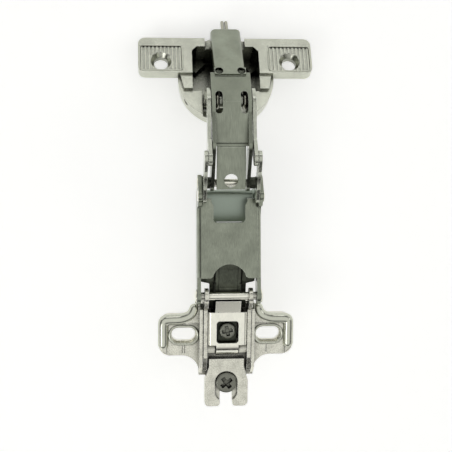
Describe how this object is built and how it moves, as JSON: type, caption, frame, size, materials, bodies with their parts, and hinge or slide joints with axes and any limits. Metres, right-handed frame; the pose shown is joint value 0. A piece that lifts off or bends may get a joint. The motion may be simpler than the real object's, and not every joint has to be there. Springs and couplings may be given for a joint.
{
  "type": "concealed cup hinge",
  "caption": "Wide-angle concealed cup hinge with a slotted cross mounting plate, adjustable arm, multi-link levers and a flanged cup, shown fully open.",
  "frame": {"origin": "middle of the line between the two screw slots of the mounting plate, on the face that lies on the cabinet wall", "axes": "+Z away from the cabinet wall, +Y out of the cabinet towards the door, +X along the pivots to the right in the picture"},
  "size_m": [0.065, 0.1419, 0.0488],
  "materials": {
    "cast_nickel": "nickel-plated zinc die casting, satin",
    "bright_steel": "bright nickel-plated steel",
    "satin_steel": "satin nickel-plated pressed steel",
    "dark_steel": "dark plated steel",
    "screw_steel": "plated screw steel",
    "spring_wire": "drawn spring wire"
  },
  "bodies": {
    "plate": {"mounting_plate": "cast_nickel"},
    "fixing_screw": {"fixing_screw": "screw_steel"},
    "carrier": {"slide_bracket": "cast_nickel", "clip_plate": "bright_steel", "arm_axle": "bright_steel"},
    "side_screw": {"side_screw": "screw_steel"},
    "arm": {"arm_channel": "satin_steel", "tilt_lever": "dark_steel", "arm_pivot_pin": "bright_steel", "pivot_bush_left": "dark_steel", "pivot_bush_right": "dark_steel", "guide_rivet_left": "bright_steel", "guide_rivet_right": "bright_steel"},
    "guide_links": {"guide_link_left": "satin_steel", "guide_link_right": "satin_steel"},
    "inner_lever": {"inner_lever": "satin_steel", "cross_rivet_left": "bright_steel", "cross_rivet_right": "bright_steel", "link_pin": "bright_steel", "lever_spring": "spring_wire"},
    "outer_levers": {"outer_lever_left": "satin_steel", "outer_lever_right": "satin_steel", "guide_end_rivet_left": "bright_steel", "guide_end_rivet_right": "bright_steel"},
    "cup_link": {"cup_link": "satin_steel"},
    "cup": {"cup_body": "cast_nickel", "cup_pin_left": "bright_steel", "cup_pin_right": "bright_steel", "cup_link_pin": "bright_steel"}
  },
  "joints": [
    {"name": "depth_slide", "type": "slide", "parent": "plate", "child": "carrier", "axis": [0, 1, 0], "range_m": [0, 0.0025]},
    {"name": "fixing_screw_turn", "type": "hinge", "parent": "plate", "child": "fixing_screw", "pos_m": [0, -0.0177, 0.004], "axis": [0, 0, 1], "range_deg": [0, 360]},
    {"name": "side_screw_turn", "type": "hinge", "parent": "carrier", "child": "side_screw", "pos_m": [0, 0.0029, 0.006], "axis": [0, 0, 1], "range_deg": [-150, 150]},
    {"name": "arm_tilt", "type": "hinge", "parent": "carrier", "child": "arm", "pos_m": [0, 0.017, 0.011], "axis": [1, 0, 0], "range_deg": [-1.8, 1.8]},
    {"name": "door_swing", "type": "hinge", "parent": "arm", "child": "inner_lever", "pos_m": [0, 0.05893, 0.01], "axis": [1, 0, 0], "range_deg": [0, 125]},
    {"name": "guide_swing", "type": "hinge", "parent": "arm", "child": "guide_links", "pos_m": [0, 0.05493, 0.0145], "axis": [1, 0, 0], "range_deg": [0, 125]},
    {"name": "outer_swing", "type": "hinge", "parent": "inner_lever", "child": "outer_levers", "pos_m": [0, 0.07321, 0.01603], "axis": [1, 0, 0], "range_deg": [-125, 0]},
    {"name": "link_swing", "type": "hinge", "parent": "inner_lever", "child": "cup_link", "pos_m": [0, 0.08832, 0.00972], "axis": [1, 0, 0], "range_deg": [-125, 0]},
    {"name": "cup_swing", "type": "hinge", "parent": "outer_levers", "child": "cup", "pos_m": [0, 0.08685, -0.00512], "axis": [1, 0, 0], "range_deg": [0, 125]}
  ],
  "couplings": [
    {"joint": "side_screw_turn", "follows": "arm_tilt", "ratio": 83.333},
    {"joint": "guide_swing", "follows": "door_swing", "ratio": 1},
    {"joint": "outer_swing", "follows": "door_swing", "ratio": -1},
    {"joint": "link_swing", "follows": "door_swing", "ratio": -1},
    {"joint": "cup_swing", "follows": "door_swing", "ratio": 1}
  ]
}
